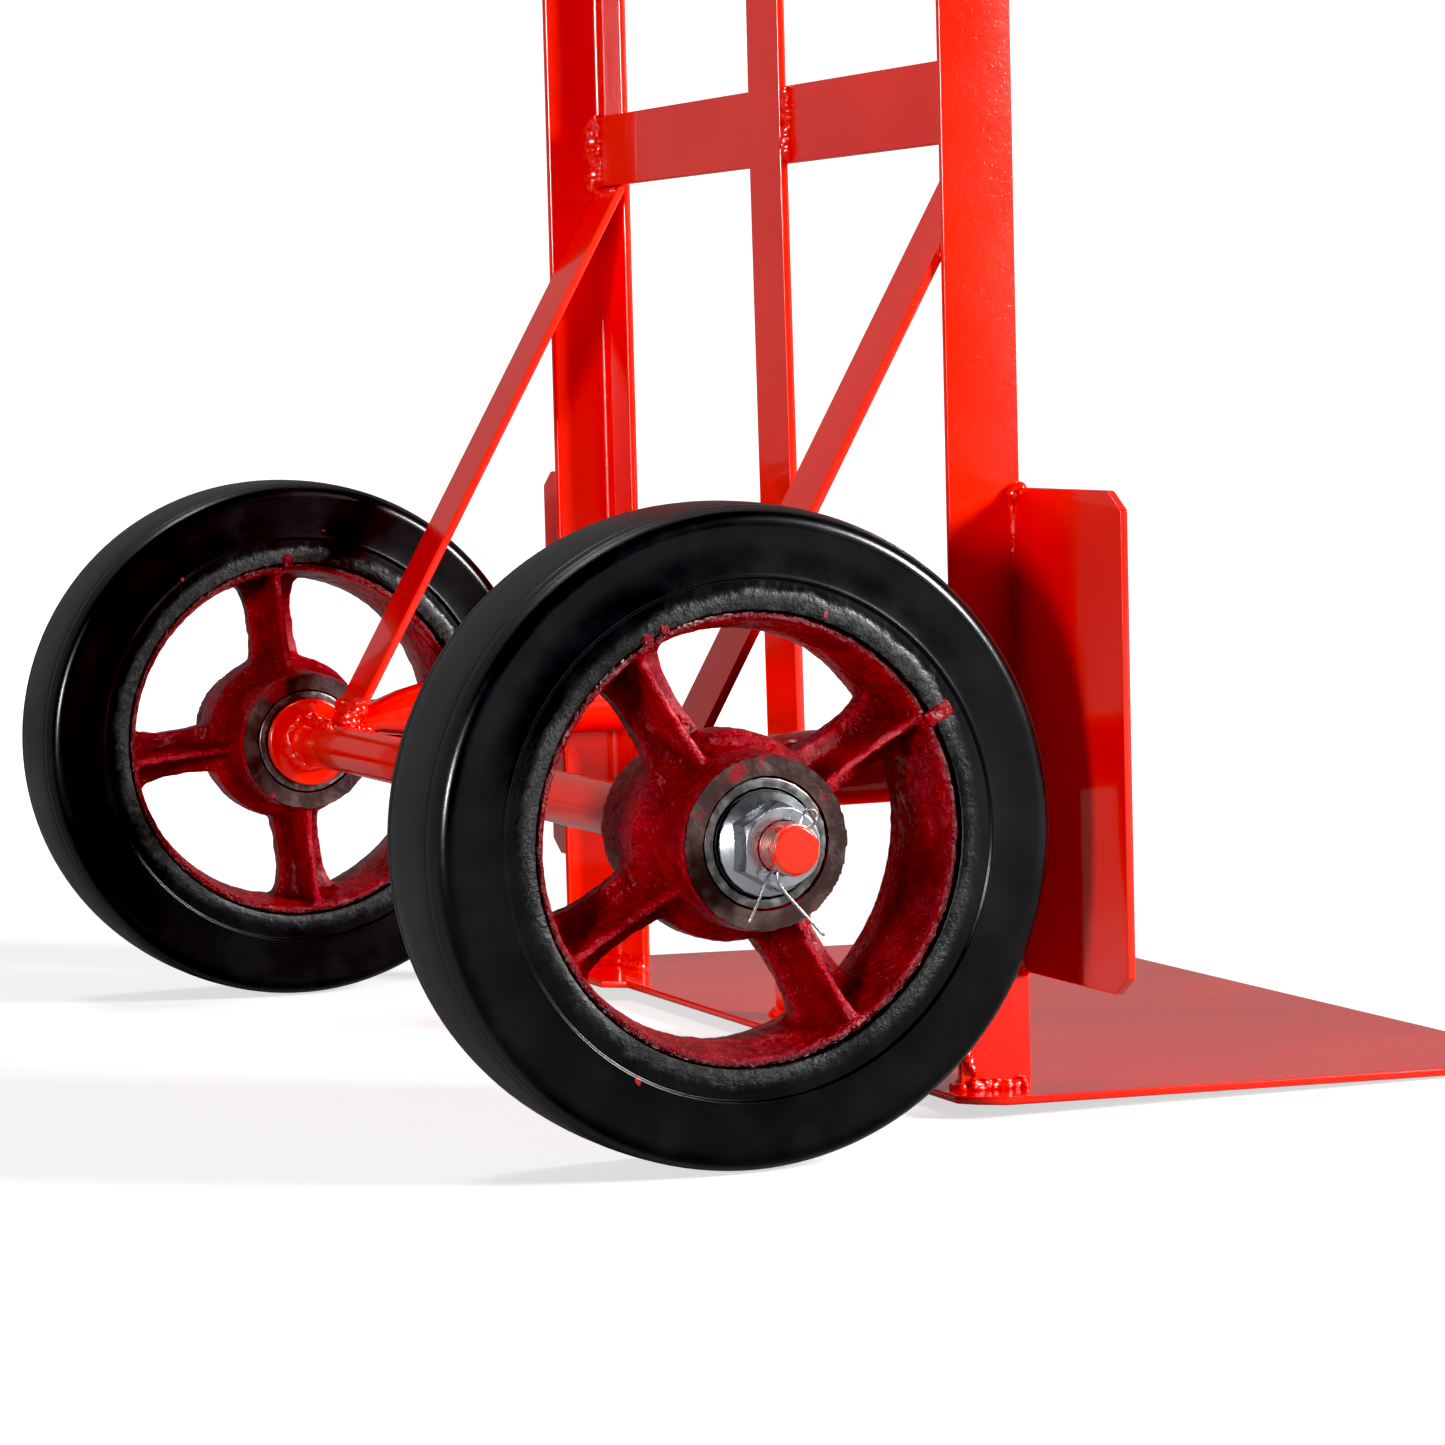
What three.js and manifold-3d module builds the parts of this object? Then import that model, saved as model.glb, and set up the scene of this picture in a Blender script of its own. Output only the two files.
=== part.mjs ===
// Welded angle-iron hand truck with two cast-centre rubber wheels on a fixed axle.
// Millimetres. +Z up, X along the axle, -Y towards the load, +Y towards the wheels.
// The origin is on the floor, in the middle of the truck's footprint.
import * as THREE from 'three';
import { mergeVertices } from 'three/addons/utils/BufferGeometryUtils.js';
import Module from 'manifold-3d';

const wasm = await Module();
wasm.setup();

// ---- clearances ------------------------------------------------------------------------
const weldGap = 0.3;          // between pieces that are welded where they meet
const fitGap = 0.3;           // radial, between a shaft and what sits on it
const faceGap = 0.3;          // along the axle, between pieces clamped together

// ---- wheels ----------------------------------------------------------------------------
const wheelRadius = 101.6;
const treadCrown = 1.2;       // how much the tread drops at its shoulders
const tyreWidth = 50.8;
const wheelTrack = 463.6;     // between the wheels' middle planes
const rimRadius = 69;         // where the rubber meets the casting
const rimWall = 5;
const rimWidth = 47;
const hubLength = 69.8;
const hubRadius = 26.6;
const hubBore = 26;
const hubCollarRadius = 31;   // thick ring of the hub at the spokes
const hubCollarWidth = 20;
const spokeCount = 4;
const spokeWidth = 17;
const spokeWeb = 9;
const ribWidth = 7;
const ribDepth = 34;
const spokeTurn = { left: 5.5, right: 30.5 };   // degrees from upright, towards +Y

// ---- bearings --------------------------------------------------------------------------
const bearingOuter = 40;
const bearingWidth = 12;
const bearingRecess = 0.5;
const innerRaceOuter = 24;
const outerRaceInner = 33.4;
const ballCount = 7;
const sealWall = 0.8;
const spacerDiameter = 22;

// ---- axle and its fasteners ------------------------------------------------------------
const axleDiameter = 17.5;
const journalDiameter = 15.9;
const threadReach = 23.3;     // how far the axle stands out of the hub
const shoulderDiameter = 34;
const shoulderWidth = 4;
const nutAcrossFlats = 23.8;
const nutHeight = 13;
const nutFlangeDiameter = 31.7;
const nutFlangeHeight = 2.6;
const cotterWire = 1.5;
const cotterHole = 4;
const cotterTurn = 37;        // degrees, tilt of the pin from upright

// ---- frame -----------------------------------------------------------------------------
const frameWidth = 368.3;     // over the two rails
const angleLeg = 25.4;
const angleWall = 3.2;
const railFront = -126;       // load face of the rails, from the axle line
const railTop = 1120;
const barWall = 3.2;
const crossbarHeight = 27.4;
const crossbarBottoms = [315, 575, 835, 1085];
const strapWidth = 28.6;
const strapLean = 2.4;        // its foot stands this far forward of its top
const braceWidth = 25.4;
const braceTopDrop = 2.2;     // its lower face meets the rail this far under the crossbar
const braceFoot = 1;          // its upper face passes this far behind the axle's middle
const stubDiameter = 25;
const stubRise = 12.2;        // middle of the stub above the axle line

// ---- wheel guards and toe plate --------------------------------------------------------
const guardReach = 76.2;
const guardBottom = 45;
const guardTop = 202.5;
const guardWall = 2.7;
const guardClip = { wide: 9, high: 6 };
const toeWidth = 406.4;
const toeDepth = 215;
const toeWall = 2.7;
const toeRise = 4.8;          // rear edge above the floor, front edge on it
const toeRear = -103.4;
const earDepth = 9;           // tabs of the toe plate behind the rails
const earWidth = 72;
const cornerClip = 5;

// ---- handles ---------------------------------------------------------------------------
const handleDiameter = 22.2;
const handleFoot = 930;
const handleBend = 70;
const handleTilt = 25;        // degrees above level
const handleReach = 150;
const gripLength = 120;
const gripWall = 3.5;

// ---- worked out ------------------------------------------------------------------------
const axleHeight = wheelRadius;
const railHalf = frameWidth / 2;
const flangeBack = railFront + angleWall;      // back face of a rail's front flange
const sideInner = railHalf - angleWall;        // inner face of a rail's side flange
const axleEnd = wheelTrack / 2 + hubLength / 2 + threadReach;
const hubInner = wheelTrack / 2 - hubLength / 2;
const hubOuter = wheelTrack / 2 + hubLength / 2;
const toeFront = toeRear - toeDepth * Math.cos(Math.asin(toeRise / toeDepth));
const toeSlope = Math.asin(toeRise / toeDepth);
const railFoot = toeRise + toeWall + weldGap;
const braceMiddle = sideInner - weldGap - braceWidth / 2;
const stubMiddle = sideInner - weldGap - stubDiameter / 2;

// ---- finishes --------------------------------------------------------------------------
const finish = (color, roughness, metalness = 0) =>
  new THREE.MeshStandardMaterial({ color, roughness, metalness });
const framePaint = finish(0xe8200c, 0.25);
const castPaint = finish(0x8e0f1a, 0.45);
const rubber = finish(0x101112, 0.4);
const zinc = finish(0xc9ccd0, 0.3, 1);
const bearingSteel = finish(0x8a8b8c, 0.35, 1);
const sealRubber = finish(0x1a1a1c, 0.5);
const gripRubber = finish(0x161616, 0.6);

const truck = new THREE.Group();
const rad = THREE.MathUtils.degToRad;

function add(name, geometry, material, parent = truck) {
  const mesh = new THREE.Mesh(geometry, material);
  mesh.name = name;
  parent.add(mesh);
  return mesh;
}

// ---- booleans --------------------------------------------------------------------------
function toSolid(geometry) {
  const plain = geometry.clone();
  plain.deleteAttribute('normal');
  plain.deleteAttribute('uv');
  const merged = mergeVertices(plain, 1e-4);
  return new wasm.Manifold(new wasm.Mesh({
    numProp: 3,
    vertProperties: new Float32Array(merged.attributes.position.array),
    triVerts: new Uint32Array(merged.index.array),
  }));
}

function toGeometry(solid) {
  const mesh = solid.getMesh();
  const geometry = new THREE.BufferGeometry();
  geometry.setAttribute('position', new THREE.BufferAttribute(mesh.vertProperties, 3));
  geometry.setIndex(new THREE.BufferAttribute(mesh.triVerts, 1));
  return geometry;
}

// ---- basic shapes ----------------------------------------------------------------------
// A flat outline pushed along +Z.
function slab(points, depth) {
  const shape = new THREE.Shape(points.map(([x, y]) => new THREE.Vector2(x, y)));
  return new THREE.ExtrudeGeometry(shape, { depth, bevelEnabled: false });
}

// A box between two corners.
function block(low, high) {
  const [w, d, h] = high.map((v, i) => v - low[i]);
  const middle = high.map((v, i) => (v + low[i]) / 2);
  return new THREE.BoxGeometry(w, d, h).translate(...middle);
}

// An outline of [along X, radius] points turned about the X axis; it closes on itself.
function turned(points, segments) {
  const profile = points.map(([x, r]) => new THREE.Vector2(r, x));
  const onAxis = profile[0].x === 0 && profile[profile.length - 1].x === 0;
  if (!onAxis) profile.push(profile[0].clone());
  if (THREE.ShapeUtils.area(profile) < 0) profile.reverse();
  return new THREE.LatheGeometry(profile, segments).rotateZ(-Math.PI / 2);
}

// A ring about the X axis.
function ring(fromX, toX, innerRadius, outerRadius, segments) {
  return turned([[fromX, innerRadius], [toX, innerRadius], [toX, outerRadius], [fromX, outerRadius]],
    segments);
}

// A closed skin over a row of ellipses that lie in planes across Y.
function lofted(rings, segments) {
  const positions = [];
  const index = [];
  for (const { y, z, wide, high } of rings) {
    for (let i = 0; i < segments; i++) {
      const turn = (2 * Math.PI * i) / segments;
      positions.push(wide * Math.cos(turn), y, z + high * Math.sin(turn));
    }
  }
  for (let k = 0; k + 1 < rings.length; k++) {
    for (let i = 0; i < segments; i++) {
      const a = k * segments + i;
      const b = k * segments + ((i + 1) % segments);
      index.push(a, a + segments, b, b, a + segments, b + segments);
    }
  }
  for (const [k, flip] of [[0, false], [rings.length - 1, true]]) {
    const base = k * segments;
    for (let i = 1; i + 1 < segments; i++) {
      index.push(...(flip ? [base, base + i + 1, base + i] : [base, base + i, base + i + 1]));
    }
  }
  const geometry = new THREE.BufferGeometry();
  geometry.setAttribute('position', new THREE.Float32BufferAttribute(positions, 3));
  geometry.setIndex(index);
  return geometry;
}

// ---- toe plate -------------------------------------------------------------------------
function toePlate() {
  const half = toeWidth / 2;
  const earOut = Math.min(half - cornerClip, railHalf - angleLeg / 2 + earWidth / 2);
  const earIn = earOut - earWidth;
  const side = [
    [half - cornerClip, 0],
    [half, cornerClip],
    [half, toeDepth - cornerClip],
    [earOut, toeDepth + earDepth - cornerClip],
    [earOut - cornerClip, toeDepth + earDepth],
    [earIn + cornerClip, toeDepth + earDepth],
    [earIn, toeDepth],
  ];
  const outline = [...side, ...side.map(([x, y]) => [-x, y]).reverse()];
  const plate = add('toe_plate', slab(outline, toeWall), framePaint);
  plate.position.set(0, toeFront, 0);
  plate.rotation.x = toeSlope;
}

// ---- rails -----------------------------------------------------------------------------
function rail(side, s) {
  const outline = [
    [s * railHalf, railFront],
    [s * railHalf, railFront + angleLeg],
    [s * sideInner, railFront + angleLeg],
    [s * sideInner, flangeBack],
    [s * (railHalf - angleLeg), flangeBack],
    [s * (railHalf - angleLeg), railFront],
  ];
  add(`rail_${side}`, slab(outline, railTop - railFoot), framePaint).position.z = railFoot;
}

// ---- flat bars across and along the frame ----------------------------------------------
function crossbars() {
  const names = ['lower', 'middle', 'upper', 'top'];
  const reach = sideInner - weldGap;
  crossbarBottoms.forEach((bottom, i) => {
    add(`crossbar_${names[i]}`, block([-reach, flangeBack, bottom],
      [reach, flangeBack + barWall, bottom + crossbarHeight]), framePaint);
  });
}

// Upright behind the crossbars, then leaning forward to a foot on the toe plate.
function centreStrap() {
  const front = flangeBack + barWall;
  const foot = front - strapLean;
  const bend = crossbarBottoms[0] - 1;
  const outline = [[foot, railFoot], [foot + barWall, railFoot], [front + barWall, bend],
    [front + barWall, railTop], [front, railTop], [front, bend]];
  const strap = slab(outline, strapWidth).rotateZ(Math.PI / 2).rotateY(Math.PI / 2);
  add('centre_strap', strap.translate(-strapWidth / 2, 0, 0), framePaint);
}

// ---- wheel guards ----------------------------------------------------------------------
function guard(side, s) {
  const near = railHalf;
  const far = railHalf + guardReach;
  const outline = [
    [near, guardBottom], [far - guardClip.wide, guardBottom], [far, guardBottom + guardClip.high],
    [far, guardTop - guardClip.high], [far - guardClip.wide, guardTop], [near, guardTop],
  ].map(([x, z]) => [s * x, z]);
  const plate = slab(outline, guardWall).rotateX(Math.PI / 2);
  add(`wheel_guard_${side}`, plate, framePaint).position.y = railFront + guardWall;
}

// ---- braces and stubs between rails and axle -------------------------------------------
// The brace's lean, as distance along Y for each unit of height, from where its two ends must be.
function leanOfBrace() {
  const run = braceFoot - (flangeBack + weldGap);
  const rise = crossbarBottoms[0] - weldGap - braceTopDrop - axleHeight;
  const spare = Math.sqrt(run * run + rise * rise - barWall * barWall);
  return (run * rise - barWall * spare) / (rise * rise - barWall * barWall);
}

const braceSlope = leanOfBrace();
const braceLevel = barWall * Math.hypot(1, braceSlope);   // thickness along Y

// The brace's side view: [y, z] from the axle line.
function braceOutline() {
  const wallY = flangeBack + weldGap;
  const topZ = crossbarBottoms[0] - weldGap - axleHeight;
  const upperAt = (z) => braceFoot - z * braceSlope;
  const lowerAtWall = (braceFoot - braceLevel - wallY) / braceSlope;
  const outline = [[braceFoot - braceLevel, 0], [braceFoot, 0], [upperAt(topZ), topZ]];
  if (lowerAtWall < topZ) outline.push([wallY, topZ], [wallY, lowerAtWall]);
  else outline.push([upperAt(topZ) - braceLevel, topZ]);
  return outline;
}

// Everything behind the brace's lower face, with the weld gap taken off.
function behindBrace() {
  const frontAt = (z) => braceFoot - braceLevel - weldGap * Math.hypot(1, braceSlope) - z * braceSlope;
  return [[frontAt(-40), -40], [80, -40], [80, 80], [frontAt(80), 80]];
}

// The outline stands in the YZ plane and is pushed along X about its middle.
function barAlongX(outline, width) {
  return slab(outline, width).rotateZ(Math.PI / 2).rotateY(Math.PI / 2)
    .translate(-width / 2, 0, axleHeight);
}

function axleCutter(length) {
  const radius = axleDiameter / 2 + weldGap;
  return new THREE.CylinderGeometry(radius, radius, length, 24).rotateZ(Math.PI / 2)
    .translate(0, 0, axleHeight);
}

function brace(side, s) {
  const bar = toSolid(barAlongX(braceOutline(), braceWidth));
  const coped = bar.subtract(toSolid(axleCutter(2 * braceWidth)));
  add(`brace_${side}`, toGeometry(coped), framePaint).position.x = s * braceMiddle;
}

// A round stub from the rail's corner, pinched flat where it meets the axle.
function axleStub(side, s) {
  const radius = stubDiameter / 2;
  const middle = axleHeight + stubRise;
  const rings = [
    { y: flangeBack + weldGap, z: middle, wide: radius, high: radius },
    { y: -52, z: middle, wide: radius, high: radius },
    { y: -40, z: middle, wide: radius, high: radius * 0.9 },
    { y: -28, z: middle - 0.6, wide: radius, high: radius * 0.7 },
    { y: -18, z: middle - 2, wide: radius, high: radius * 0.5 },
    { y: -4, z: middle - 5, wide: radius, high: radius * 0.36 },
  ];
  const stub = toSolid(lofted(rings, 20))
    .subtract(toSolid(axleCutter(4 * radius)))
    .subtract(toSolid(barAlongX(behindBrace(), 4 * radius)));
  add(`axle_stub_${side}`, toGeometry(stub), framePaint).position.x = s * stubMiddle;
}

// ---- axle ------------------------------------------------------------------------------
const cotterAt = axleEnd - 5.5;

function axle() {
  const shoulder = hubInner - faceGap;
  const chamfer = 1.2;
  const half = [
    [0, axleDiameter / 2],
    [shoulder, axleDiameter / 2],
    [shoulder, journalDiameter / 2],
    [axleEnd - chamfer, journalDiameter / 2],
    [axleEnd, journalDiameter / 2 - chamfer],
    [axleEnd, 0],
  ];
  const profile = [...half.slice(1).map(([x, r]) => [-x, r]).reverse(), ...half.slice(1)];
  let shaft = toSolid(turned(profile, 24));
  for (const s of [-1, 1]) {
    const hole = new THREE.CylinderGeometry(cotterHole / 2, cotterHole / 2, 2 * axleDiameter, 12)
      .rotateX(rad(90 + cotterTurn)).translate(s * cotterAt, 0, 0);
    shaft = shaft.subtract(toSolid(hole));
  }
  add('axle', toGeometry(shaft), framePaint).position.z = axleHeight;
}

function shoulderWasher(side, s) {
  const outer = hubInner - faceGap;
  const washer = ring(outer - shoulderWidth, outer, axleDiameter / 2 + fitGap, shoulderDiameter / 2, 24);
  const mesh = add(`axle_shoulder_${side}`, washer, framePaint);
  mesh.position.z = axleHeight;
  mesh.rotation.z = s > 0 ? 0 : Math.PI;
}

// ---- nut and cotter pin ----------------------------------------------------------------
function flangeNut(side, s) {
  const corner = nutAcrossFlats / 2 / Math.cos(Math.PI / 6);
  const bore = journalDiameter / 2 + fitGap;
  const hex = new THREE.CylinderGeometry(corner, corner, nutHeight, 6).rotateZ(-Math.PI / 2)
    .translate(nutHeight / 2, 0, 0);
  const crown = turned([[0, 0], [nutHeight, 0], [nutHeight, nutAcrossFlats / 2], [nutHeight - 1.6, corner],
    [nutFlangeHeight, corner + 0.1], [nutFlangeHeight / 2, nutFlangeDiameter / 2],
    [0, nutFlangeDiameter / 2]], 24);
  const flange = turned([[0, 0], [nutFlangeHeight + 1.4, 0], [nutFlangeHeight + 1.4, nutAcrossFlats / 2],
    [nutFlangeHeight / 2, nutFlangeDiameter / 2], [0, nutFlangeDiameter / 2]], 24);
  const hole = new THREE.CylinderGeometry(bore, bore, 4 * nutHeight, 20).rotateZ(Math.PI / 2);
  const nut = toSolid(hex).intersect(toSolid(crown)).add(toSolid(flange)).subtract(toSolid(hole));
  const mesh = add(`flange_nut_${side}`, toGeometry(nut), zinc);
  mesh.position.set(s * (hubOuter + faceGap), 0, axleHeight);
  mesh.rotation.z = s > 0 ? 0 : Math.PI;
}

// One bent wire: leg, shank, eye, shank, leg. Its shank runs along Z before it is tilted.
function cotterPin(side, s) {
  const apart = cotterWire / 2 + 0.12;
  const reach = journalDiameter / 2;
  const eye = 2.6;
  const point = (y, z) => new THREE.Vector3(0, y, z);
  const path = [point(-1.9, -25.2), point(-0.4, -17), point(0.8, -11.5),
    point(apart, -reach + 1), point(apart, 0), point(apart, reach - 0.5)];
  for (const turn of [-35, 20, 90, 160, 215]) {
    path.push(point(eye * Math.cos(rad(turn)), reach + 3.4 + eye * Math.sin(rad(turn))));
  }
  path.push(point(-apart, reach - 0.5), point(-apart, 0), point(-apart, -reach + 1),
    point(-1.7, -9.4), point(-6, -11.2), point(-14, -12.9), point(-24.5, -14.9));
  const curve = new THREE.CatmullRomCurve3(path, false, 'centripetal');
  const section = new THREE.Shape();
  section.absarc(0, 0, cotterWire / 2, 0, 2 * Math.PI);
  const wire = new THREE.ExtrudeGeometry(section,
    { steps: 40, curveSegments: 2, extrudePath: curve, bevelEnabled: false });
  const mesh = add(`cotter_pin_${side}`, wire, zinc);
  mesh.position.set(s * cotterAt, 0, axleHeight);
  mesh.rotation.x = rad(cotterTurn);
}

// ---- wheels: every piece is made about the wheel's own middle, then moved out along the axle ----
function tyreGeometry() {
  const half = tyreWidth / 2;
  const shoulder = wheelRadius - treadCrown;
  return turned([
    [-half + 0.6, rimRadius + fitGap], [half - 0.6, rimRadius + fitGap],
    [half, rimRadius + 8], [half, shoulder - 6],
    [half - 1.4, shoulder - 2.2], [half - 5, shoulder], [half - 14, wheelRadius],
    [-half + 14, wheelRadius], [-half + 5, shoulder], [-half + 1.4, shoulder - 2.2],
    [-half, shoulder - 6], [-half, rimRadius + 8],
  ], 48);
}

function castingGeometry(turnDegrees) {
  const hubHalf = hubLength / 2;
  const collar = hubCollarWidth / 2;
  const hub = turned([[-hubHalf, 0], [hubHalf, 0], [hubHalf, hubRadius], [collar + 6, hubRadius + 1],
    [collar, hubCollarRadius], [-collar, hubCollarRadius], [-collar - 6, hubRadius + 1],
    [-hubHalf, hubRadius]], 28);
  const rimHalf = rimWidth / 2;
  const inner = rimRadius - rimWall;
  const rim = turned([[-rimHalf, inner + 1.5], [-4, inner - 1], [4, inner - 1], [rimHalf, inner + 1.5],
    [rimHalf, rimRadius], [-rimHalf, rimRadius]], 40);
  let casting = toSolid(hub).add(toSolid(rim));
  const from = hubRadius - 4;
  const to = rimRadius - rimWall / 2;
  for (let i = 0; i < spokeCount; i++) {
    const turn = -rad(turnDegrees) + (2 * Math.PI * i) / spokeCount;
    const web = block([-spokeWeb / 2, -spokeWidth / 2, from], [spokeWeb / 2, spokeWidth / 2, to]);
    const rib = block([-ribDepth / 2, -ribWidth / 2, from], [ribDepth / 2, ribWidth / 2, to]);
    for (const piece of [web, rib]) casting = casting.add(toSolid(piece.rotateX(turn)));
  }
  const bore = new THREE.CylinderGeometry(hubBore / 2, hubBore / 2, 2 * hubLength, 20).rotateZ(Math.PI / 2);
  casting = casting.subtract(toSolid(bore));
  const pocketRadius = bearingOuter / 2 + fitGap;
  const pocketDepth = bearingWidth + bearingRecess + faceGap;
  for (const s of [-1, 1]) {
    const pocket = new THREE.CylinderGeometry(pocketRadius, pocketRadius, pocketDepth + 10, 28)
      .rotateZ(Math.PI / 2).translate(s * (hubHalf - pocketDepth / 2 + 5), 0, 0);
    casting = casting.subtract(toSolid(pocket));
  }
  return toGeometry(casting);
}

// A ring of balls held by one thin cage.
function ballCage() {
  const pitch = (innerRaceOuter + outerRaceInner) / 4;
  const ballRadius = (outerRaceInner - innerRaceOuter) / 4 - fitGap;
  let cage = toSolid(ring(-0.7, 0.7, pitch - 0.8, pitch + 0.8, 14));
  for (let i = 0; i < ballCount; i++) {
    const turn = (2 * Math.PI * i) / ballCount;
    const ball = new THREE.SphereGeometry(ballRadius, 6, 4)
      .translate(0, pitch * Math.cos(turn), pitch * Math.sin(turn));
    cage = cage.add(toSolid(ball));
  }
  return toGeometry(cage);
}

function bearing(parent, place, s) {
  const half = bearingWidth / 2;
  const middle = s * (hubLength / 2 - bearingRecess - half);
  const journal = journalDiameter / 2 + fitGap;
  const pieces = [
    ['bearing_outer_race', ring(-half, half, outerRaceInner / 2, bearingOuter / 2, 24), bearingSteel],
    ['bearing_inner_race', ring(-half, half, journal, innerRaceOuter / 2, 20), bearingSteel],
    ['bearing_balls', ballCage(), bearingSteel],
    ['bearing_seal', ring(s * (half - 0.6) - sealWall / 2, s * (half - 0.6) + sealWall / 2,
      innerRaceOuter / 2 + fitGap, outerRaceInner / 2 - fitGap, 20), sealRubber],
  ];
  for (const [name, geometry, material] of pieces) {
    add(`${name}_${place}`, geometry, material, parent).position.x = middle;
  }
}

function wheel(side, s) {
  const group = new THREE.Group();
  group.position.set((s * wheelTrack) / 2, 0, axleHeight);
  truck.add(group);
  add(`tyre_${side}`, tyreGeometry(), rubber, group);
  add(`wheel_casting_${side}`, castingGeometry(spokeTurn[side]), castPaint, group);
  bearing(group, `${side}_outer`, s);
  bearing(group, `${side}_inner`, -s);
  const sleeveHalf = hubLength / 2 - bearingRecess - bearingWidth - faceGap;
  const sleeve = ring(-sleeveHalf, sleeveHalf, journalDiameter / 2 + fitGap, spacerDiameter / 2, 16);
  add(`hub_spacer_${side}`, sleeve, bearingSteel, group);
}

// ---- handles ---------------------------------------------------------------------------
function handle(side, s) {
  const radius = handleDiameter / 2;
  const x = s * (sideInner - weldGap - radius);
  const y = flangeBack + barWall + weldGap + radius;
  const tilt = rad(handleTilt);
  const top = railTop + 25;
  const path = new THREE.CurvePath();
  const start = new THREE.Vector3(x, y, handleFoot);
  const bendStart = new THREE.Vector3(x, y, top);
  const centre = new THREE.Vector3(x, y + handleBend, top);
  const bend = [];
  for (let i = 0; i <= 6; i++) {
    const turn = ((Math.PI / 2 - tilt) * i) / 6;
    const back = centre.y - handleBend * Math.cos(turn);
    bend.push(new THREE.Vector3(x, back, top + handleBend * Math.sin(turn)));
  }
  const along = new THREE.Vector3(0, Math.cos(tilt), Math.sin(tilt));
  const bendEnd = bend[bend.length - 1];
  const end = bendEnd.clone().addScaledVector(along, handleReach);
  const points = [start, ...bend, end];
  for (let i = 0; i + 1 < points.length; i++) path.add(new THREE.LineCurve3(points[i], points[i + 1]));
  const rings = points.map((p, i) => {
    const before = points[Math.max(i - 1, 0)];
    const after = points[Math.min(i + 1, points.length - 1)];
    return { p, direction: after.clone().sub(before).normalize() };
  });
  add(`handle_${side}`, rodAlong(rings, radius, 16), framePaint);

  const sleeve = radius + fitGap;
  const outer = sleeve + gripWall;
  const grip = turned([[0, sleeve], [gripLength, sleeve], [gripLength, 0], [gripLength + 4, 0],
    [gripLength + 4, outer - 2], [gripLength + 2, outer], [4, outer], [0, outer + 3]], 20);
  const mesh = add(`grip_${side}`, grip, gripRubber);
  mesh.position.copy(end.clone().addScaledVector(along, -(gripLength - faceGap)));
  mesh.quaternion.setFromUnitVectors(new THREE.Vector3(1, 0, 0), along);
}

// A round rod through rings that stay across the YZ path.
function rodAlong(rings, radius, segments) {
  const positions = [];
  const index = [];
  for (const { p, direction } of rings) {
    const across = new THREE.Vector3(1, 0, 0);
    const up = new THREE.Vector3().crossVectors(direction, across);
    for (let i = 0; i < segments; i++) {
      const turn = (2 * Math.PI * i) / segments;
      const q = p.clone().addScaledVector(across, radius * Math.cos(turn))
        .addScaledVector(up, radius * Math.sin(turn));
      positions.push(q.x, q.y, q.z);
    }
  }
  for (let k = 0; k + 1 < rings.length; k++) {
    for (let i = 0; i < segments; i++) {
      const a = k * segments + i;
      const b = k * segments + ((i + 1) % segments);
      index.push(a, b, a + segments, b, b + segments, a + segments);
    }
  }
  for (const [k, flip] of [[0, true], [rings.length - 1, false]]) {
    const base = k * segments;
    for (let i = 1; i + 1 < segments; i++) {
      index.push(...(flip ? [base, base + i + 1, base + i] : [base, base + i, base + i + 1]));
    }
  }
  const geometry = new THREE.BufferGeometry();
  geometry.setAttribute('position', new THREE.Float32BufferAttribute(positions, 3));
  geometry.setIndex(index);
  return geometry;
}

// ---- assembly --------------------------------------------------------------------------
toePlate();
crossbars();
centreStrap();
axle();
for (const [side, s] of [['left', 1], ['right', -1]]) {
  rail(side, s);
  guard(side, s);
  brace(side, s);
  axleStub(side, s);
  shoulderWasher(side, s);
  wheel(side, s);
  flangeNut(side, s);
  cotterPin(side, s);
  handle(side, s);
}

// The footprint runs from the toe plate's front edge to the back of the tyres.
truck.position.y = -(toeFront - toeWall * Math.sin(toeSlope) + wheelRadius) / 2;

export default truck;
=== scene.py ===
from math import cos, pi, radians, sin
from random import Random

import bpy
from mathutils import Matrix, Vector


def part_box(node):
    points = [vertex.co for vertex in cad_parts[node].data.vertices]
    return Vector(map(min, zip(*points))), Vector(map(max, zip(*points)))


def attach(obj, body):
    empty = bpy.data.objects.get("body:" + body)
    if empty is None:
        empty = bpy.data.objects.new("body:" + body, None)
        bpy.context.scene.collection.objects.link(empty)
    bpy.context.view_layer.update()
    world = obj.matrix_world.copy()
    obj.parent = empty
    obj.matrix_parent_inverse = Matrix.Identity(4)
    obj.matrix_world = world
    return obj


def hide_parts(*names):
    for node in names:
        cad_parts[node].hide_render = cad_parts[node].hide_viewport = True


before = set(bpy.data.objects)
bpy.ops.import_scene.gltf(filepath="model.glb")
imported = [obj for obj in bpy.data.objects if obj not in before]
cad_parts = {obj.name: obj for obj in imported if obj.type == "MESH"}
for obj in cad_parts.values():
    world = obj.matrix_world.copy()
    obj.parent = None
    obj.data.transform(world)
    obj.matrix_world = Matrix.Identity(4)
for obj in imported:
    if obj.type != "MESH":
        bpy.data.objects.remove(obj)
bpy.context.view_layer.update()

bpy.ops.object.select_all(action="DESELECT")
scene = bpy.context.scene
scene.view_settings.view_transform = "Standard"
scene.view_settings.use_curve_mapping = True
scene.view_settings.curve_mapping.black_level = (0.012, 0.012, 0.012)


def middle(node):
    low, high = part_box(node)
    return (low + high) / 2


hubCentre = {side: middle("tyre_" + side) for side in ("left", "right")}
outward = {"left": 1, "right": -1}  # which way along X each side faces
axleY, axleZ = hubCentre["right"].y, hubCentre["right"].z

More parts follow.
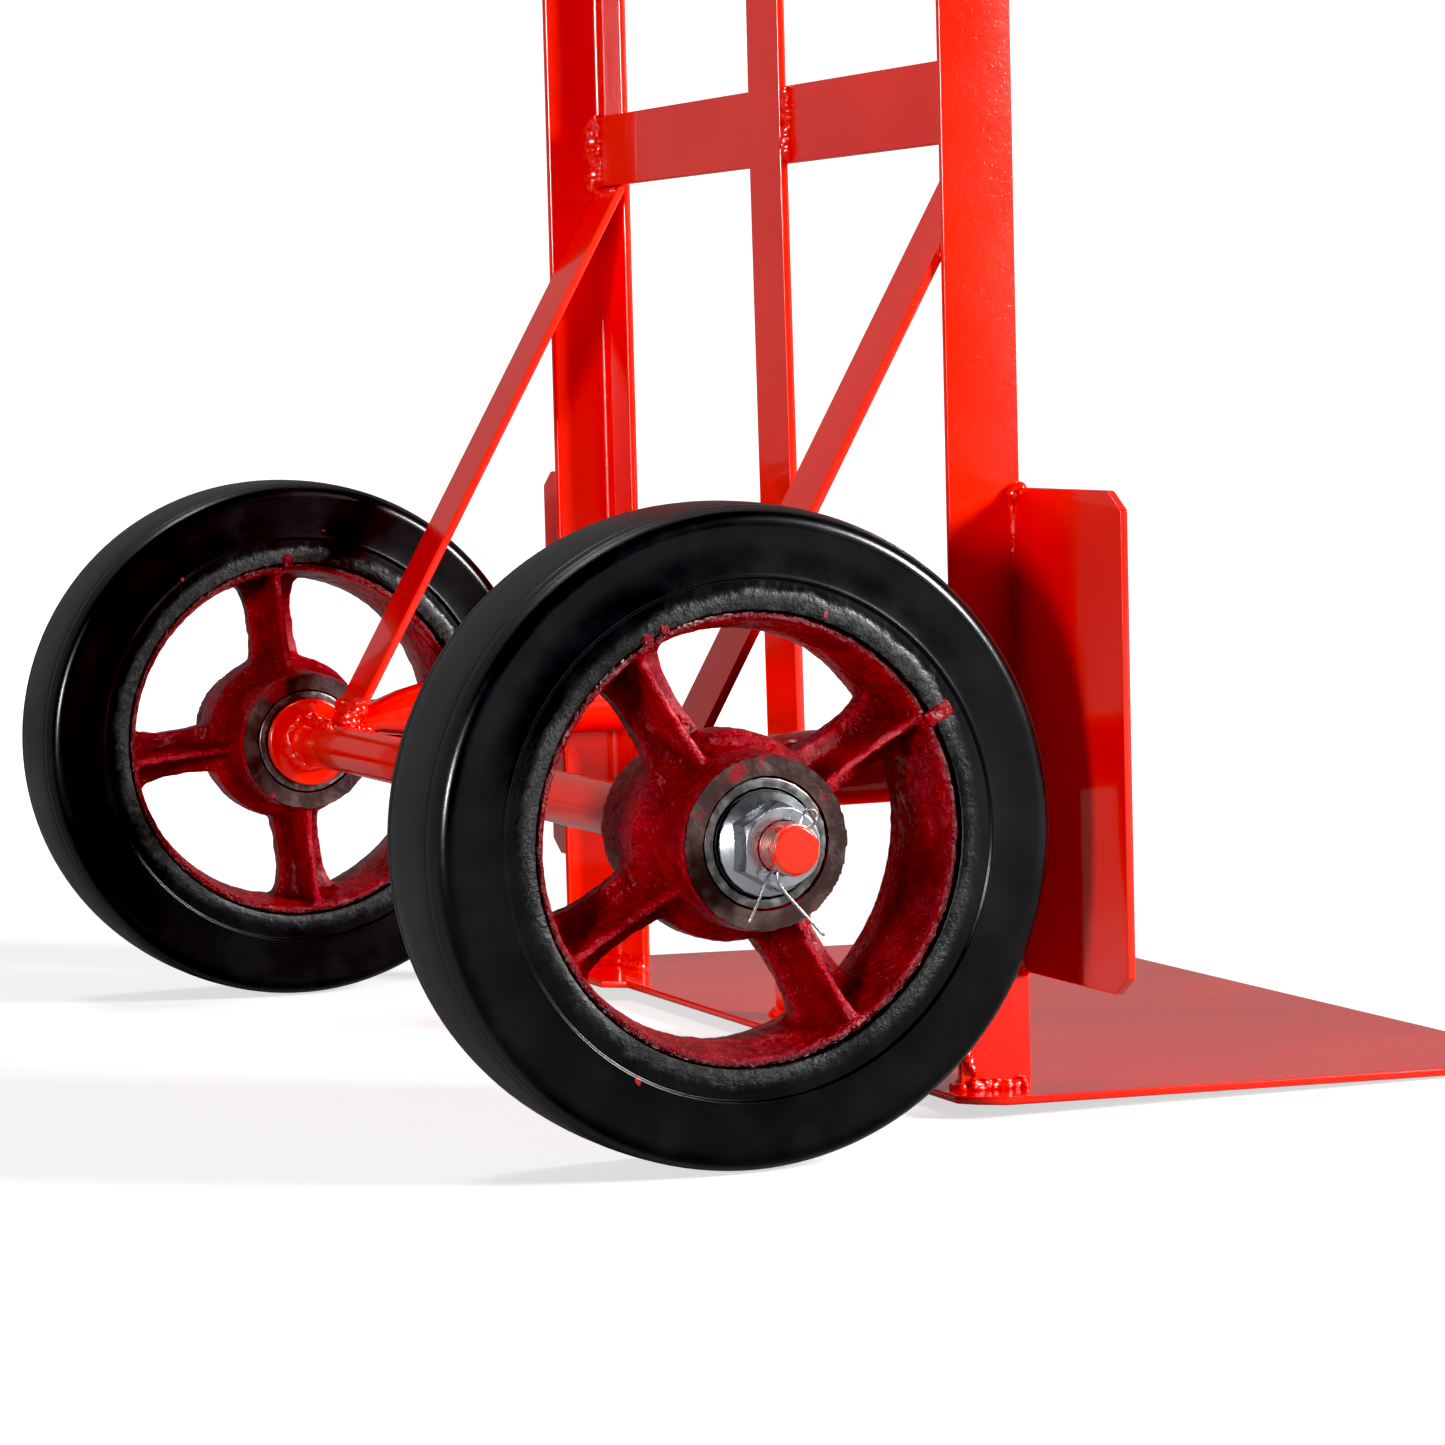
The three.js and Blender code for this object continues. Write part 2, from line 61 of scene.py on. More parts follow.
view = {
    "place": (-1.53389, 0.63485, 0.24440),
    "right": (-0.379155, -0.925006, -0.024621),
    "up": (0.060984, -0.051529, 0.996808),
    "back": (-0.923321, 0.376443, 0.075948),
    "lens": 115.19,
    "shift": (-0.0071, -0.0042),
}
bpy.ops.object.camera_add()
camera = bpy.context.object
turn = Matrix((view["right"], view["up"], view["back"])).transposed()
camera.matrix_world = Matrix.Translation(view["place"]) @ turn.to_4x4()
camera.data.lens = view["lens"]
camera.data.sensor_width = 36
camera.data.shift_x, camera.data.shift_y = view["shift"]
camera.data.clip_start = 0.02
scene.camera = camera
print("camera set")


# a socket in a node tree; arithmetic on it adds Math nodes
class Wire:
    def __init__(self, tree, socket):
        self.tree = tree
        self.socket = socket

    def math(self, operation, other=None, third=None):
        values = {0: self}
        if other is not None:
            values[1] = other
        if third is not None:
            values[2] = third
        return self.tree.node("ShaderNodeMath", {"operation": operation}, values)

    def __add__(self, other):
        return self.math("ADD", other)

    def __sub__(self, other):
        return self.math("SUBTRACT", other)

    def __mul__(self, other):
        return self.math("MULTIPLY", other)

    def __radd__(self, other):
        return self.math("ADD", other)

    def __rmul__(self, other):
        return self.math("MULTIPLY", other)

    def __rsub__(self, other):
        return self.tree.node("ShaderNodeMath", {"operation": "SUBTRACT"}, {0: other, 1: self})

    def above(self, edge, soft):  # 0 below edge, 1 from edge + soft
        return self.tree.node("ShaderNodeMapRange", {"interpolation_type": "SMOOTHSTEP"},
            {"Value": self, "From Min": edge, "From Max": edge + soft})

    def below(self, edge, soft):
        return 1 - self.above(edge, soft)


class Tree:  # the nodes of a material or a world
    def __init__(self, owner):
        owner.use_nodes = True
        self.nodes = owner.node_tree.nodes
        self.links = owner.node_tree.links
        self.nodes.clear()

    # settings come first, then values or links by socket; output=None gives every output
    def node(self, kind, settings=None, values=None, output=0):
        made = self.nodes.new(kind)
        for key, value in (settings or {}).items():
            setattr(made, key, value)
        for key, value in (values or {}).items():
            socket = made.inputs[key]
            if isinstance(value, Wire):
                self.links.new(value.socket, socket)
            elif socket.type == "RGBA":
                socket.default_value = (*value[:3], 1)
            else:
                socket.default_value = value
        if output is None:
            return [Wire(self, each) for each in made.outputs]
        return Wire(self, made.outputs[output]) if made.outputs else None

    def place(self):
        return self.node("ShaderNodeTexCoord", output="Object")

    def cameraRay(self):
        return self.node("ShaderNodeLightPath", output="Is Camera Ray")

    def axes(self, origin=(0, 0, 0)):
        moved = self.node("ShaderNodeVectorMath", {"operation": "SUBTRACT"}, {0: self.place(), 1: origin})
        return self.node("ShaderNodeSeparateXYZ", {}, {0: moved}, output=None)

    def noise(self, scale, detail=3, roughness=0.5, vector=None):
        return self.node("ShaderNodeTexNoise", {}, {"Vector": vector or self.place(), "Scale": scale,
            "Detail": detail, "Roughness": roughness})

    def mix(self, factor, a, b):
        return self.node("ShaderNodeMix", {"data_type": "RGBA"}, {0: factor, 6: a, 7: b}, output=2)

    def blendShaders(self, factor, a, b):
        return self.node("ShaderNodeMixShader", {}, {0: factor, 1: a, 2: b})

    def bump(self, height, distance, strength=1, under=None):
        values = {"Height": height, "Distance": distance, "Strength": strength}
        if under is not None:
            values["Normal"] = under
        return self.node("ShaderNodeBump", {}, values)


class Finish(Tree):
    def __init__(self, name):
        self.material = bpy.data.materials.new(name)
        super().__init__(self.material)

    def end(self, shader):
        self.node("ShaderNodeOutputMaterial", {}, {"Surface": shader})
        return self.material

    def surface(self, **values):
        names = {"colour": "Base Color", "rough": "Roughness", "metal": "Metallic", "coat": "Coat Weight",
            "coatRough": "Coat Roughness", "normal": "Normal", "specular": "Specular IOR Level"}
        sockets = {names[key]: value for key, value in values.items()}
        return self.end(self.node("ShaderNodeBsdfPrincipled", {}, sockets))


enamel = {
    "lit": (0.92, 0.018, 0.003),
    "deep": (0.80, 0.012, 0.003),
    "rough": 0.22,
    "peel": 260,      # orange-peel lumps, per metre
    "pits": 900,      # mill-scale pits under the paint
}


def makeEnamel(name, lumps=0.00012):
    f = Finish(name)
    peel = f.noise(enamel["peel"], 2, 0.45)
    pits = f.noise(enamel["pits"], 3, 0.6)
    tint = f.mix(f.noise(9, 3).above(0.35, 0.35), enamel["deep"], enamel["lit"])
    flow = f.bump(peel, lumps, 0.6)
    grit = f.bump(pits.above(0.55, 0.25), 0.00006, 0.5, flow)
    rough = f.noise(40, 3) * 0.12 + (enamel["rough"] - 0.06)
    return f.surface(colour=tint, rough=rough, coat=0.6, coatRough=0.04, normal=grit)


framePaint = makeEnamel("frameEnamel")
weldPaint = makeEnamel("weldEnamel", 0.0006)


def makeThreadPaint():
    f = Finish("axlePaint")
    x, y, z = f.axes((0, axleY, axleZ))
    reach = x.math("ABSOLUTE")
    radius = (y * y + z * z).math("SQRT")
    thread = reach.above(0.2685, 0.0005) * radius.above(0.0069, 0.0004)
    turns = (reach * (2 * pi / 0.0014)).math("SINE")
    bare = thread * f.noise(300, 3).above(0.38, 0.2)
    colour = f.mix(bare, enamel["lit"], (0.55, 0.30, 0.27))
    ribs = f.bump(turns * thread, 0.0003, 0.9)
    peel = f.bump(f.noise(enamel["peel"], 2), 0.00015, 0.6, ribs)
    return f.surface(colour=colour, rough=0.25 + bare * 0.1, metal=bare * 0.7, coat=0.5 - bare * 0.4,
        coatRough=0.04, normal=peel)


axlePaint = makeThreadPaint()

casting = {
    "lit": (0.35, 0.004, 0.007),
    "dark": (0.130, 0.002, 0.005),
    "face": (0.040, 0.020, 0.018),     # turned iron at the hub's ends
    "faceLight": (0.095, 0.060, 0.054),
    "worn": (0.50, 0.44, 0.40),        # bare edge beside the rubber
}


def makeCastPaint(side):
    f = Finish("castPaint_" + side)
    x, y, z = f.axes(hubCentre[side])
    radius = (y * y + z * z).math("SQRT")
    reach = x.math("ABSOLUTE")
    sand = f.noise(470, 4, 0.7)
    lumps = f.noise(130, 3, 0.6)
    rough = f.noise(30, 3, 0.6).above(0.36, 0.22)     # where the mould's sand shows most
    blotch = f.noise(45, 3, 0.6)
    # painted highlight: a brighter red on convex ridges and edges (high pointiness) inside the rim
    ridgeHighlight = f.node("ShaderNodeNewGeometry", output="Pointiness").above(0.47, 0.07)
    colour = f.mix(blotch.above(0.38, 0.3), casting["dark"], casting["lit"])
    colour = f.mix(ridgeHighlight * radius.below(0.0672, 0.001) * 0.45, colour, (0.55, 0.004, 0.018))
    lip = radius.above(0.0662, 0.0010) * reach.above(0.0222, 0.0006) * reach.below(0.0243, 0.0003)
    colour = f.mix(lip * 0.75, colour, (0.045, 0.003, 0.004))
    edge = radius.above(0.0682, 0.0004) * reach.above(0.0222, 0.0006) * radius.below(0.0694, 0.0003)
    edge = edge * reach.below(0.0243, 0.0003) * (f.noise(14, 2).above(0.48, 0.12) * 0.8 + 0.2)
    colour = f.mix(edge * f.noise(520, 3).above(0.50, 0.10), colour, casting["worn"])
    turned = reach.above(0.0344, 0.0003) * radius.below(0.0274, 0.0006)
    stain = f.noise(110, 4, 0.6)
    worn = f.mix(stain.above(0.42, 0.25), casting["face"], casting["faceLight"])
    worn = f.mix(f.noise(70, 3).above(0.60, 0.08), worn, (0.22, 0.012, 0.016))
    colour = f.mix(turned, colour, worn)
    sanded = f.bump(sand * (rough * 0.8 + 0.2) * (1 - turned * 0.85), 0.0030, 0.8)
    cast = f.bump(lumps * (1 - turned), 0.0036, 0.8, sanded)
    gloss = f.noise(90, 3) * 0.2 + 0.16 + turned * 0.2
    return f.surface(colour=colour, rough=gloss, normal=cast, metal=turned * 0.5, specular=0.38)


rubber = {
    "wall": (0.0034, 0.0036, 0.0040),
    "wallWorn": (0.0062, 0.0066, 0.0072),
    "tread": (0.010, 0.0105, 0.011),
    "flash": (0.026, 0.027, 0.027),    # rough torn band beside the rim
    "bandOuter": 0.0718,
}


def makeTyreRubber(side):
    f = Finish("tyreRubber_" + side)
    x, y, z = f.axes(hubCentre[side])
    radius = (y * y + z * z).math("SQRT")
    cloud = f.noise(55, 4, 0.6)
    scuff = f.noise(380, 4, 0.7)
    streak = f.noise(1, 4, 0.6, f.node("ShaderNodeCombineXYZ", {}, {"X": x * 900, "Y": y * 30, "Z": z * 30}))
    tread = radius.above(0.0984, 0.0016)
    ragged = radius + (f.noise(130, 3) - 0.5) * 0.004
    torn = ragged.below(rubber["bandOuter"], 0.0048)
    patchy = f.noise(16, 2).above(0.40, 0.25)
    band = torn * (patchy * 0.7 + 0.3)
    stretched = f.node("ShaderNodeCombineXYZ", {}, {"X": x * 200, "Y": y * 520, "Z": z * 60})
    scratch = f.noise(1, 4, 0.65, stretched)
    dusty = radius.below(0.0776, 0.0010) * scratch.above(0.50, 0.16) * patchy
    colour = f.mix(cloud.above(0.40, 0.35), rubber["wall"], rubber["wallWorn"])
    colour = f.mix(dusty * 0.12, colour, (0.014, 0.015, 0.016))
    colour = f.mix(band * scuff.above(0.48, 0.12), colour, rubber["flash"])
    colour = f.mix(tread * 0.8, colour, f.mix(streak, rubber["tread"], (0.022, 0.023, 0.024)))
    specks = f.noise(140, 2, 0.4).above(0.765, 0.01) * radius.below(0.0965, 0.001)
    colour = f.mix(specks, colour, (0.32, 0.02, 0.02))
    rough = cloud * 0.10 + 0.17 + dusty * 0.07 + band * 0.40 + tread * 0.18
    coarse = f.bump(scuff * band, 0.0016, 0.8)
    skin = f.bump(f.noise(900, 2), 0.00003, 0.5, coarse)
    return f.surface(colour=colour, rough=rough, specular=0.35, normal=skin)


def makeZinc():
    f = Finish("zincPlate")
    cloud = f.noise(260, 3)
    colour = f.mix(cloud, (0.46, 0.50, 0.55), (0.68, 0.71, 0.74))
    drawn = f.bump(f.noise(1400, 2), 0.00004, 0.5)
    return f.surface(colour=colour, rough=cloud * 0.16 + 0.19, metal=1.0, normal=drawn)


def makeBearingSteel():
    f = Finish("bearingSteel")
    x, y, z = f.axes((0, axleY, axleZ))
    radius = (y * y + z * z).math("SQRT")
    rings = (radius * (2 * pi / 0.0006)).math("SINE")
    film = f.noise(210, 4, 0.6)
    colour = f.mix(film.above(0.4, 0.3), (0.12, 0.115, 0.11), (0.34, 0.33, 0.32))
    return f.surface(colour=colour, rough=film * 0.2 + 0.22, metal=0.9,
        normal=f.bump(rings * f.noise(120, 2), 0.00005, 0.4))


def makeSeal():
    f = Finish("sealRubber")
    cloud = f.noise(300, 3)
    return f.surface(colour=f.mix(cloud, (0.006, 0.006, 0.006), (0.02, 0.02, 0.02)), rough=cloud * 0.2 + 0.4,
        normal=f.bump(cloud, 0.0001, 0.4))


def makeGripRubber():
    f = Finish("gripRubber")
    grain = f.noise(1100, 3, 0.6)
    colour = f.mix(f.noise(60, 3), (0.010, 0.010, 0.011), (0.022, 0.022, 0.023))
    return f.surface(colour=colour, rough=grain * 0.2 + 0.42, normal=f.bump(grain, 0.00015, 0.6))


castPaint = {side: makeCastPaint(side) for side in outward}
tyreRubber = {side: makeTyreRubber(side) for side in outward}
zincPlate = makeZinc()
bearingSteel = makeBearingSteel()
sealRubber = makeSeal()
gripRubber = makeGripRubber()
print("finishes made")


def coat(piece, material):
    piece.data.materials.clear()
    piece.data.materials.append(material)


def pick(piece):
    bpy.ops.object.select_all(action="DESELECT")
    piece.select_set(True)
    bpy.context.view_layer.objects.active = piece


def settle(piece):  # its place goes into its mesh
    pick(piece)
    bpy.ops.object.transform_apply(location=True, rotation=True, scale=True)


def applyAll(piece):
    pick(piece)
    for modifier in list(piece.modifiers):
        bpy.ops.object.modifier_apply(modifier=modifier.name)


def mount(piece, name, body, slot, material, *stoodFor):
    piece.name = name
    piece.data.name = name
    coat(piece, material)
    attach(piece, body)
    if stoodFor:
        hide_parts(*stoodFor)


def turnedPiece(profile, sides, centre):  # a ring along X, from (x, radius) pairs that close on themselves
    x, radius = profile[0]
    bpy.ops.mesh.primitive_circle_add(vertices=sides, radius=radius, location=(x, 0, 0),
        rotation=(0, pi / 2, 0))
    piece = bpy.context.object
    settle(piece)
    bpy.ops.object.mode_set(mode="EDIT")
    bpy.ops.mesh.select_all(action="SELECT")
    for nextX, nextRadius in profile[1:]:
        bpy.ops.mesh.extrude_edges_move(TRANSFORM_OT_translate={"value": (nextX - x, 0, 0)})
        size = nextRadius / radius
        bpy.ops.transform.resize(value=(1, size, size), center_override=(nextX, 0, 0))
        x, radius = nextX, nextRadius
    bpy.ops.mesh.select_all(action="DESELECT")
    bpy.ops.mesh.select_mode(type="EDGE")
    bpy.ops.mesh.select_non_manifold()
    bpy.ops.mesh.bridge_edge_loops()
    bpy.ops.mesh.select_all(action="SELECT")
    bpy.ops.mesh.normals_make_consistent(inside=False)
    bpy.ops.object.mode_set(mode="OBJECT")
    piece.location = centre
    settle(piece)
    return piece


def joined(pieces):
    bpy.ops.object.select_all(action="DESELECT")
    for piece in pieces:
        piece.select_set(True)
    bpy.context.view_layer.objects.active = pieces[0]
    bpy.ops.object.join()
    return bpy.context.object


def fused(piece, voxel, smooth, grain=None):  # one skin over overlapping solids
    remesh = piece.modifiers.new("skin", "REMESH")
    remesh.mode = "VOXEL"
    remesh.voxel_size = voxel
    if smooth:
        relax = piece.modifiers.new("relax", "SMOOTH")
        relax.factor = 0.5
        relax.iterations = smooth
    if grain:
        lumps = bpy.data.textures.new("lumps", "CLOUDS")
        lumps.noise_scale, lumps.noise_depth = grain[0], 2
        swell = piece.modifiers.new("lumps", "DISPLACE")
        swell.texture = lumps
        swell.strength, swell.mid_level = grain[1], 0.5
    applyAll(piece)
    bpy.ops.object.shade_smooth()


# frame nodes that keep their shape: finish and edge rounding
plain = {
    "toe_plate": (framePaint, 0.0007), "centre_strap": (framePaint, 0.0006),
    "crossbar_lower": (framePaint, 0.0006), "crossbar_middle": (framePaint, 0.0006),
    "crossbar_upper": (framePaint, 0.0006), "crossbar_top": (framePaint, 0.0006),
    "axle": (axlePaint, 0.0003),
}
for side in outward:
    plain["wheel_guard_" + side] = (framePaint, 0.0006)
    plain["brace_" + side] = (framePaint, 0.0006)
    plain["axle_stub_" + side] = (framePaint, 0.0005)
    plain["axle_shoulder_" + side] = (framePaint, 0.0008)
    plain["flange_nut_" + side] = (zincPlate, 0.0004)
    plain["hub_spacer_" + side] = (bearingSteel, 0.0003)
    plain["cotter_pin_" + side] = (zincPlate, 0)
    for end in ("inner", "outer"):
        plain[f"bearing_outer_race_{side}_{end}"] = (bearingSteel, 0.0006)
        plain[f"bearing_inner_race_{side}_{end}"] = (bearingSteel, 0.0006)
        plain[f"bearing_balls_{side}_{end}"] = (bearingSteel, 0)
        plain[f"bearing_seal_{side}_{end}"] = (sealRubber, 0.0002)
for name, (material, rounding) in plain.items():
    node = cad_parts[name]
    coat(node, material)
    pick(node)
    bpy.ops.object.shade_smooth()
    weld = node.modifiers.new("weld", "WELD")
    weld.merge_threshold = 0.000005
    if name.startswith("cotter"):
        wire = node.modifiers.new("wire", "SUBSURF")
        wire.levels = wire.render_levels = 1
    if rounding:
        bevel = node.modifiers.new("rounding", "BEVEL")
        bevel.width = rounding
        bevel.segments = 2
        bevel.limit_method = "ANGLE"
        bevel.angle_limit = radians(32)
        weighted = node.modifiers.new("shading", "WEIGHTED_NORMAL")
        weighted.keep_sharp = True
print("frame nodes finished")

# angle-iron rails: rolled corner, soft edges
rolledAngle = {"inside": 0.0034, "toe": 0.0014, "edge": 0.0007, "wall": 0.0032}


def alongZ(piece, x, y):  # selects the upright edges that stand at x, y
    bpy.ops.object.mode_set(mode="EDIT")
    bpy.ops.mesh.select_mode(type="EDGE")
    bpy.ops.mesh.select_all(action="DESELECT")
    bpy.ops.object.mode_set(mode="OBJECT")
    for edge in piece.data.edges:
        ends = [piece.data.vertices[v].co for v in edge.vertices]
        edge.select = all(abs(e.x - x) < 0.0002 and abs(e.y - y) < 0.0002 for e in ends)
    bpy.ops.object.mode_set(mode="EDIT")


def copyOf(name):
    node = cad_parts[name]
    piece = node.copy()
    piece.data = node.data.copy()
    piece.parent = None
    scene.collection.objects.link(piece)
    for key in list(piece.keys()):
        del piece[key]
    pick(piece)
    bpy.ops.object.mode_set(mode="EDIT")
    bpy.ops.mesh.select_all(action="SELECT")
    bpy.ops.mesh.remove_doubles(threshold=0.00001)
    bpy.ops.mesh.dissolve_limited(angle_limit=radians(1))
    bpy.ops.object.mode_set(mode="OBJECT")
    return piece


for side, s in outward.items():
    piece = copyOf("rail_" + side)
    low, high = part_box("rail_" + side)
    outerX, innerX = (high.x, low.x) if s > 0 else (low.x, high.x)
    wallX = outerX - s * rolledAngle["wall"]
    wallY = low.y + rolledAngle["wall"]
    for x, y, size in ((wallX, wallY, "inside"), (innerX, wallY, "toe"), (wallX, high.y, "toe"),
            (outerX, low.y, "edge"), (outerX, high.y, "edge"), (innerX, low.y, "edge")):
        alongZ(piece, x, y)
        bpy.ops.mesh.bevel(offset=rolledAngle[size], segments=5, affect="EDGES")
        bpy.ops.object.mode_set(mode="OBJECT")
    bpy.ops.object.shade_smooth_by_angle(angle=radians(40))
    mount(piece, "angleIron_" + side, "frame", "frame_paint", framePaint, "rail_" + side)
print("rails made")

tube = {"radius": 0.0111, "foot": 0.930, "top": 1.145, "bend": 0.070, "tilt": 25, "reach": 0.150, "sides": 40}
sleeve = {
    "length": 0.124, "bore": 0.0113, "radius": 0.0146, "collar": 0.0178, "ribs": 11, "groove": 0.0010,
}


def handleTube(side):
    low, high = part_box("handle_" + side)
    x = (low.x + high.x) / 2
    y = low.y + tube["radius"]
    tilt = radians(tube["tilt"])
    along = Vector((0, cos(tilt), sin(tilt)))
    bpy.ops.mesh.primitive_circle_add(vertices=tube["sides"], radius=tube["radius"],
        location=(x, y, tube["foot"]))
    piece = bpy.context.object
    settle(piece)
    bpy.ops.object.mode_set(mode="EDIT")
    bpy.ops.mesh.select_all(action="SELECT")
    bpy.ops.mesh.extrude_edges_move(TRANSFORM_OT_translate={"value": (0, 0, tube["top"] - tube["foot"])})
    # with no window, spin turns the other way
    bpy.ops.mesh.spin(steps=18, angle=pi / 2 - tilt, center=(x, y + tube["bend"], tube["top"]),
        axis=(1, 0, 0))
    bpy.ops.mesh.extrude_edges_move(TRANSFORM_OT_translate={"value": along * tube["reach"]})
    bpy.ops.mesh.select_all(action="SELECT")
    bpy.ops.mesh.fill_holes(sides=0)
    bpy.ops.mesh.select_all(action="SELECT")
    bpy.ops.mesh.normals_make_consistent(inside=False)
    bpy.ops.object.mode_set(mode="OBJECT")
    bevel = piece.modifiers.new("rim", "BEVEL")
    bevel.width = 0.0008
    bevel.segments = 2
    bevel.limit_method = "ANGLE"
    bevel.angle_limit = radians(50)
    applyAll(piece)
    bpy.ops.object.shade_smooth_by_angle(angle=radians(35))
    end = Vector((x, y + tube["bend"] * (1 - sin(tilt)), tube["top"] + tube["bend"] * cos(tilt)))
    return piece, end + along * tube["reach"], along


def handGrip(end, along):
    g = sleeve
    outside = [(0.0008, g["collar"] - 0.0008), (0.0020, g["collar"]), (0.0036, g["collar"] - 0.0006),
        (0.0052, g["radius"] + 0.0006)]
    step = (g["length"] - 0.030) / g["ribs"]
    for i in range(g["ribs"]):
        at = 0.012 + i * step
        outside += [(at, g["radius"]), (at + step * 0.55, g["radius"]),
            (at + step * 0.68, g["radius"] - g["groove"]), (at + step * 0.87, g["radius"] - g["groove"])]
    outside += [(g["length"] - 0.012, g["radius"]), (g["length"] - 0.003, g["radius"]),
        (g["length"] - 0.001, g["radius"] - 0.0012), (g["length"], g["radius"] - 0.004), (g["length"], 0.003),
        (g["length"] - 0.0036, 0.003), (g["length"] - 0.0036, g["bore"]), (0, g["bore"]),
        (0, g["collar"] - 0.002)]
    piece = turnedPiece(outside, 48, (0, 0, 0))
    piece.rotation_mode = "QUATERNION"
    piece.rotation_quaternion = Vector((1, 0, 0)).rotation_difference(along)
    piece.location = end - along * (g["length"] - 0.004)
    settle(piece)
    bpy.ops.object.shade_smooth_by_angle(angle=radians(40))
    return piece


for side in outward:
    piece, end, along = handleTube(side)
    mount(piece, "handleTube_" + side, "frame", "frame_paint", framePaint, "handle_" + side)
    mount(handGrip(end, along), "handGrip_" + side, "frame", "grip_rubber", gripRubber, "grip_" + side)
print("handles made")

tyre = {
    "sides": 144,
    "profile": [  # from the outer side of the rim over the tread; x, radius
        (0.0243, 0.0693), (0.0247, 0.0700), (0.0248, 0.0720), (0.0247, 0.0780), (0.0246, 0.0785),
        (0.0248, 0.0788), (0.0252, 0.0791), (0.0253, 0.0794), (0.0252, 0.0799), (0.0250, 0.0808),
        (0.0250, 0.0900), (0.0252, 0.0945), (0.0252, 0.0960), (0.0248, 0.0974), (0.0240, 0.0986),
        (0.0228, 0.0996), (0.0214, 0.10035), (0.0208, 0.1001), (0.0202, 0.1006), (0.0172, 0.1010),
        (0.0166, 0.1007), (0.0160, 0.1011), (0.0100, 0.10145), (0.0050, 0.10160),
    ],
}
for side in outward:
    half = tyre["profile"]
    around = half + [(-x, r) for x, r in reversed(half)]
    piece = turnedPiece(around, tyre["sides"], hubCentre[side])
    bpy.ops.object.shade_smooth()
    crease = piece.modifiers.new("rounding", "BEVEL")
    crease.width = 0.00015
    crease.segments = 2
    crease.limit_method = "ANGLE"
    crease.angle_limit = radians(30)
    applyAll(piece)
    mount(piece, "tyreMoulding_" + side, "wheel_" + side, "tyre_rubber", tyreRubber[side], "tyre_" + side)
print("tyres made")

wheelCast = {
    "rim": 0.0690, "rimWall": 0.0046, "rimHalf": 0.0235,
    "hub": 0.0266, "hubHalf": 0.0349, "collar": 0.0325, "collarHalf": 0.0070,
    "bore": 0.0130, "pocket": 0.0203, "pocketDepth": 0.0128,
    "web": [(0.0245, 0.0050, 0.0125), (0.0310, 0.0046, 0.0096), (0.0400, 0.0044, 0.0086),
        (0.0520, 0.0044, 0.0088), (0.0590, 0.0050, 0.0104), (0.0668, 0.0066, 0.0155)],
    "rib": [(0.0245, 0.0240, 0.0026), (0.0400, 0.0205, 0.0021), (0.0560, 0.0200, 0.0021),
        (0.0668, 0.0218, 0.0027)],
    "grain": (0.0034, 0.0007),   # size and height of the sand-cast lumps
    "ribEdge": 0.55,      # how much thinner a rib is at its outer edge
    "turn": {"left": 5.5, "right": 30.5},
    "nubs": {  # spoke, turn from it in degrees, length and width of the lump
        "left": [(0, 3, 0.0028, 0.0022)],
        "right": [(1, 1, 0.0046, 0.0026), (0, 8, 0.0018, 0.0016), (0, 3, 0.0016, 0.0020)],
    },
    "voxel": 0.00106,
}


# stands up from the hub; a section is (height, half depth, half width)
def spokePlate(sections, edge=1.0):
    z, deep, wide = sections[0]
    bpy.ops.mesh.primitive_plane_add(size=2, location=(0, 0, z))
    piece = bpy.context.object
    piece.scale = (deep, wide, 1)
    settle(piece)
    bpy.ops.object.mode_set(mode="EDIT")
    bpy.ops.mesh.select_all(action="SELECT")
    for nextZ, nextDeep, nextWide in sections[1:]:
        bpy.ops.mesh.extrude_region_move(TRANSFORM_OT_translate={"value": (0, 0, nextZ - z)})
        bpy.ops.transform.resize(value=(nextDeep / deep, nextWide / wide, 1), center_override=(0, 0, nextZ))
        z, deep, wide = nextZ, nextDeep, nextWide
    bpy.ops.mesh.select_all(action="SELECT")
    bpy.ops.mesh.normals_make_consistent(inside=False)
    if edge < 1:  # draft: thick in the middle plane, thin at the two faces
        bpy.ops.mesh.bisect(plane_co=(0, 0, 0), plane_no=(1, 0, 0))
        bpy.ops.object.mode_set(mode="OBJECT")
        for vertex in piece.data.vertices:
            if abs(vertex.co.x) > 0.001:
                vertex.co.y *= edge
            else:
                vertex.co.y *= 1.5
    else:
        bpy.ops.object.mode_set(mode="OBJECT")
    return piece


def nub(side, spoke, shift, long, wide):  # a lump of metal left where the mould was fed
    around = -radians(wheelCast["turn"][side] - shift) + spoke * pi / 2
    bpy.ops.mesh.primitive_cube_add(size=2, location=(0, 0, 0))
    piece = bpy.context.object
    piece.scale = (0.0014, wide, long)
    piece.location = (-0.0240, 0, wheelCast["rim"] + long * 0.55)
    settle(piece)
    bevel = piece.modifiers.new("soft", "BEVEL")
    bevel.width = 0.0011
    bevel.segments = 3
    applyAll(piece)
    piece.rotation_euler = (around, 0, 0)
    settle(piece)
    return piece


